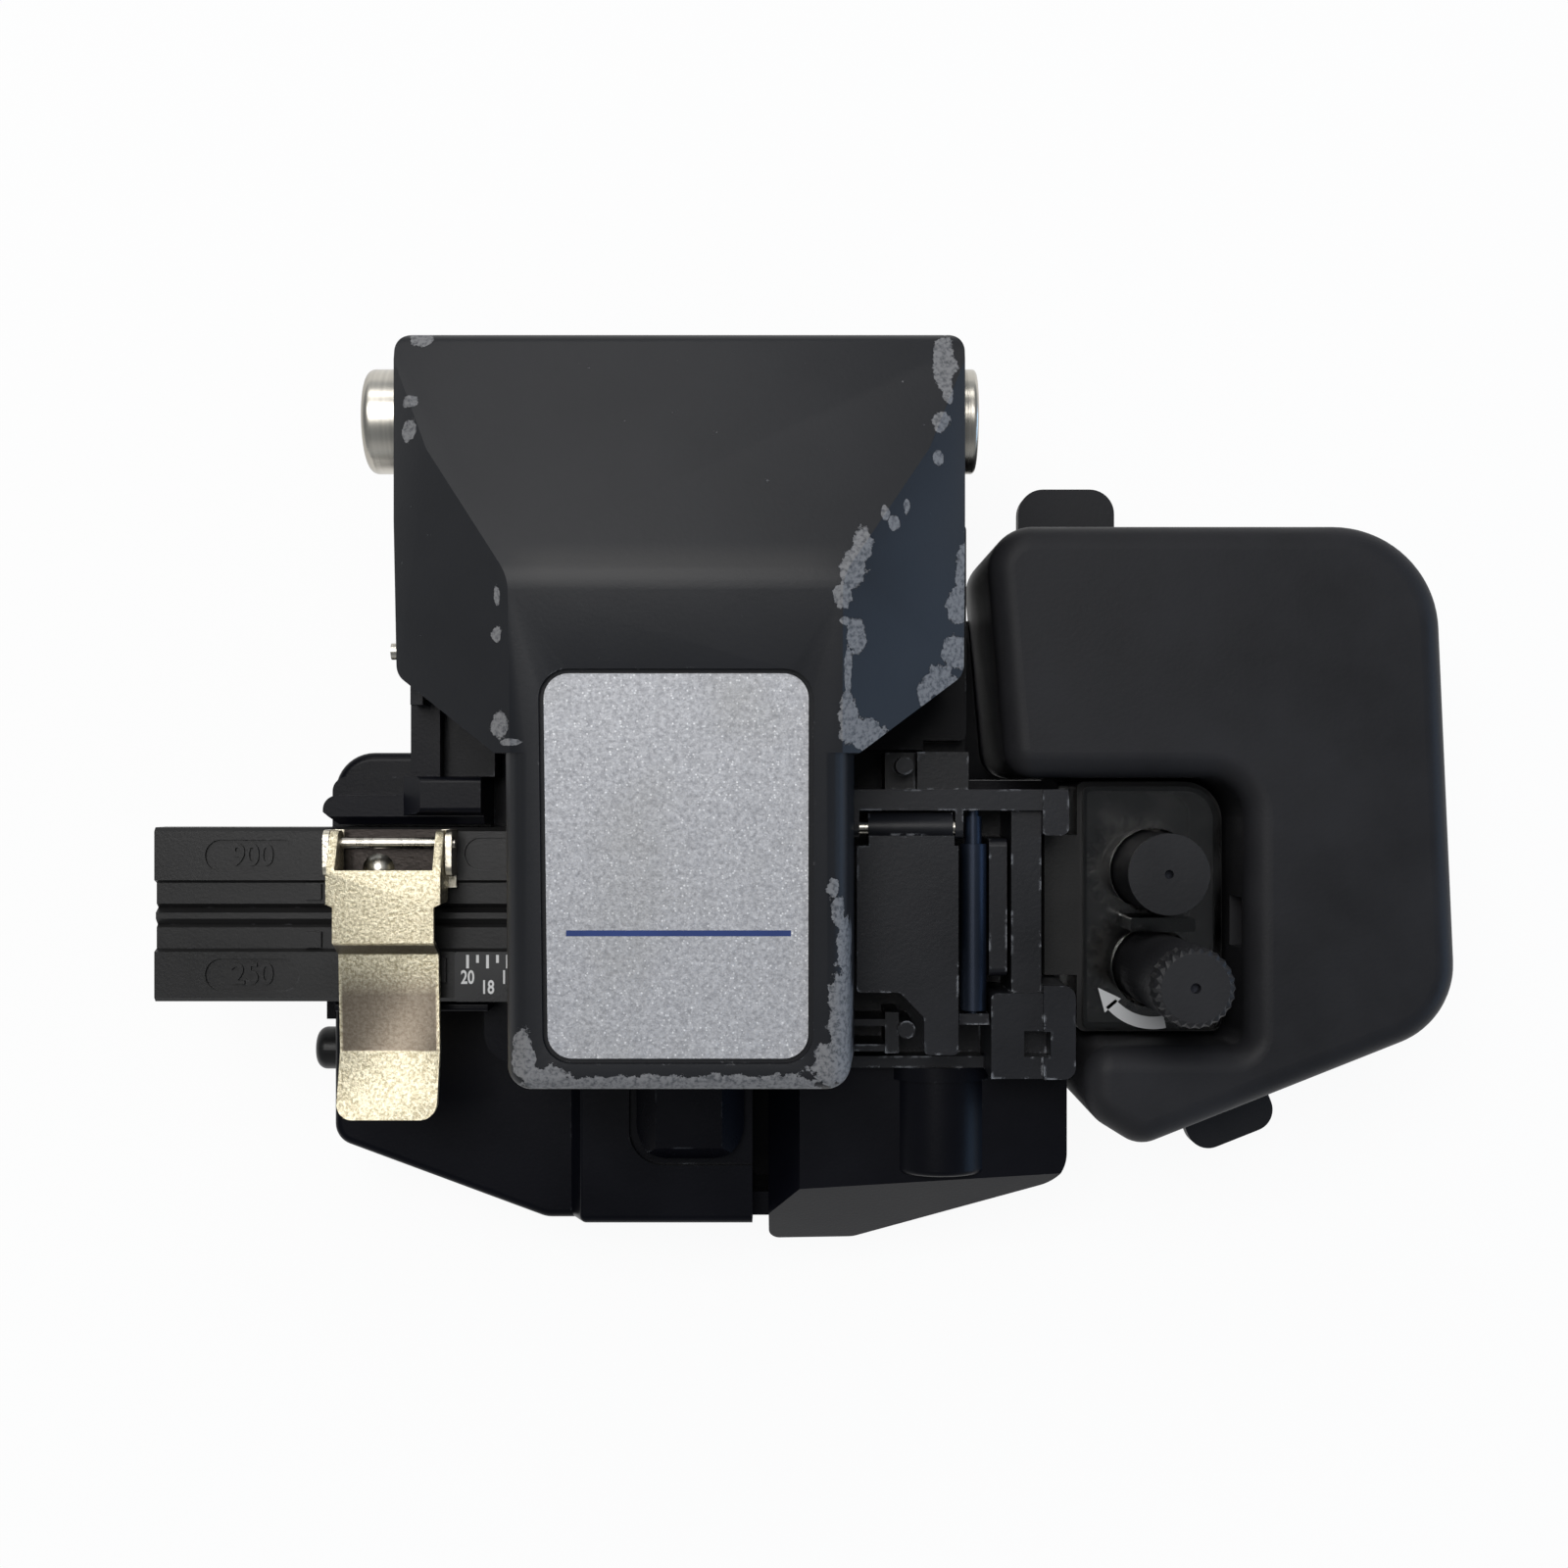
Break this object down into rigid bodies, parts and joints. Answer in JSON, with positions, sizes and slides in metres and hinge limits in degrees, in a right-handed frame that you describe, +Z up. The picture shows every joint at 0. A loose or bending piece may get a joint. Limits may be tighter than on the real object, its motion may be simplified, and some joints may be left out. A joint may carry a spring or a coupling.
{
  "type": "fibre cleaver",
  "caption": "Bench-top optical fibre cleaver with hinged lid, sliding blade, length-scale adapter plate with metal clamp flap, and a side collector with a knurled feed knob.",
  "frame": {"origin": "middle of the overall outline, on the plane the feet stand on", "axes": "+X towards the off-cut collector, +Y towards the lid's hinge at the rear, +Z up"},
  "size_m": [0.1307, 0.0924, 0.0479],
  "materials": {
    "base_paint": "near-black fine-textured powder coat, slightly worn on the corners",
    "lid_paint": "satin charcoal paint, worn through to grey metal on the edges",
    "label_film": "silver sparkle film",
    "flap_metal": "champagne bead-blasted sheet metal",
    "steel": "turned and ground steel",
    "spring_steel": "drawn spring wire",
    "carbide": "ground tungsten carbide",
    "black_plastic": "moulded black plastic",
    "scale_black": "black plate with white scale marks",
    "collector_plastic": "matte charcoal moulded plastic",
    "smoky_clear": "smoky clear plastic",
    "pad_rubber": "fine-grained black rubber",
    "foot_rubber": "soft black rubber",
    "frame_metal": "dark-coated steel frame with worn bright corners",
    "anodised_dark": "blue-black anodised aluminium",
    "knurl_black": "charcoal plastic, knurled",
    "gear_plastic": "natural acetal",
    "screw_steel": "zinc-plated screw steel"
  },
  "bodies": {
    "base": {"chassis": "base_paint", "bottom_cover": "base_paint", "bottom_cover_screws": "screw_steel", "rubber_feet": "foot_rubber", "right_front_body": "base_paint", "hinge_pin": "steel", "hinge_cap_left": "steel", "hinge_cap_right": "steel", "lid_spring": "spring_steel", "lower_pad_seats": "frame_metal", "lower_clamp_pads": "pad_rubber", "guide_rods": "steel", "return_spring": "spring_steel", "latch_pivot_pin": "steel", "rear_rail": "base_paint", "front_rail": "base_paint", "feed_frame": "frame_metal", "tail_arm_pin": "steel", "tail_pad": "pad_rubber", "fibre_guide_plate": "frame_metal", "collector_tray": "collector_plastic", "collector_bracket": "frame_metal", "bracket_screws": "screw_steel", "roller_housing": "black_plastic", "roller_window": "smoky_clear", "guide_strip": "smoky_clear"},
    "lid": {"lid_shell": "lid_paint", "label_plate": "label_film", "clamp_cross_pin": "steel", "anvil_holder": "frame_metal", "anvil_spring": "spring_steel"},
    "upper_clamp": {"upper_clamp_carrier": "frame_metal", "upper_clamp_pads": "pad_rubber"},
    "anvil_block": {"anvil": "pad_rubber"},
    "slider": {"blade_slider": "base_paint", "blade_axle": "steel"},
    "blade": {"blade_wheel": "carbide"},
    "pawl": {"latch_pawl": "frame_metal"},
    "release": {"release_pin": "steel"},
    "adapter": {"adapter_plate": "black_plastic", "scale_plate": "scale_black", "flap_bracket": "flap_metal", "flap_hinge_pin": "steel", "flap_bracket_screw": "steel"},
    "flap": {"clamp_flap": "flap_metal", "flap_pad": "pad_rubber"},
    "button": {"side_button": "black_plastic"},
    "tail_arm": {"tail_clamp_arm": "frame_metal", "tail_arm_pad": "pad_rubber"},
    "roller": {"guide_roller": "anodised_dark"},
    "drum": {"knurled_drum": "knurl_black", "drive_shaft": "steel", "drive_gear": "gear_plastic"},
    "idler": {"idler_roller": "pad_rubber", "idler_cap": "knurl_black", "idler_shaft": "steel", "idler_gear": "gear_plastic"},
    "cover": {"collector_cover": "collector_plastic"}
  },
  "joints": [
    {"name": "lid_hinge", "type": "hinge", "parent": "base", "child": "lid", "pos_m": [-0.012, 0.0403, 0.026], "axis": [-1, 0, 0], "range_deg": [0, 60]},
    {"name": "upper_clamp_float", "type": "hinge", "parent": "lid", "child": "upper_clamp", "pos_m": [-0.0139, 0.0164, 0.035], "axis": [-1, 0, 0], "range_deg": [0, 2.5]},
    {"name": "anvil_press", "type": "slide", "parent": "lid", "child": "anvil_block", "axis": [0, 0, -1], "range_m": [0, 0.0009], "deforming": ["anvil_spring"]},
    {"name": "blade_slide", "type": "slide", "parent": "base", "child": "slider", "axis": [0, 1, 0], "range_m": [0, 0.011], "deforming": ["return_spring"]},
    {"name": "blade_index", "type": "hinge", "parent": "slider", "child": "blade", "pos_m": [-0.0139, -0.0175, 0.0199], "axis": [1, 0, 0], "continuous": true},
    {"name": "latch_tilt", "type": "hinge", "parent": "base", "child": "pawl", "pos_m": [-0.0104, 0.0076, 0.015], "axis": [1, 0, 0], "range_deg": [0, 7]},
    {"name": "release_pin_slide", "type": "slide", "parent": "base", "child": "release", "axis": [0, 0, 1], "range_m": [0, 0.0005]},
    {"name": "adapter_pull_out", "type": "slide", "parent": "base", "child": "adapter", "axis": [-1, 0, 0], "range_m": [0, 0.045]},
    {"name": "flap_hinge", "type": "hinge", "parent": "adapter", "child": "flap", "pos_m": [-0.0413, -0.0023, 0.0306], "axis": [-1, 0, 0], "range_deg": [0, 95]},
    {"name": "side_button_press", "type": "slide", "parent": "base", "child": "button", "axis": [1, 0, 0], "range_m": [0, 0.0012], "stiffness_N_per_m": 400, "springref_m": -0.001},
    {"name": "tail_arm_hinge", "type": "hinge", "parent": "base", "child": "tail_arm", "pos_m": [0.0105, -0.0008, 0.0273], "axis": [-1, 0, 0], "range_deg": [0, 75]},
    {"name": "guide_roller_spin", "type": "hinge", "parent": "base", "child": "roller", "pos_m": [0.017, -0.01, 0.02662], "axis": [0, 1, 0], "continuous": true},
    {"name": "drum_spin", "type": "hinge", "parent": "base", "child": "drum", "pos_m": [0.0364, -0.0156, 0.02], "axis": [0, 0, -1], "continuous": true},
    {"name": "idler_spin", "type": "hinge", "parent": "base", "child": "idler", "pos_m": [0.0364, -0.0055, 0.02], "axis": [0, 0, -1], "continuous": true},
    {"name": "collector_cover_lift", "type": "slide", "parent": "base", "child": "cover", "axis": [0, 0, 1], "range_m": [0, 0.03]}
  ],
  "couplings": [
    {"joint": "idler_spin", "follows": "drum_spin", "ratio": -1},
    {"joint": "latch_tilt", "follows": "release_pin_slide", "rad_per_m": 238}
  ]
}
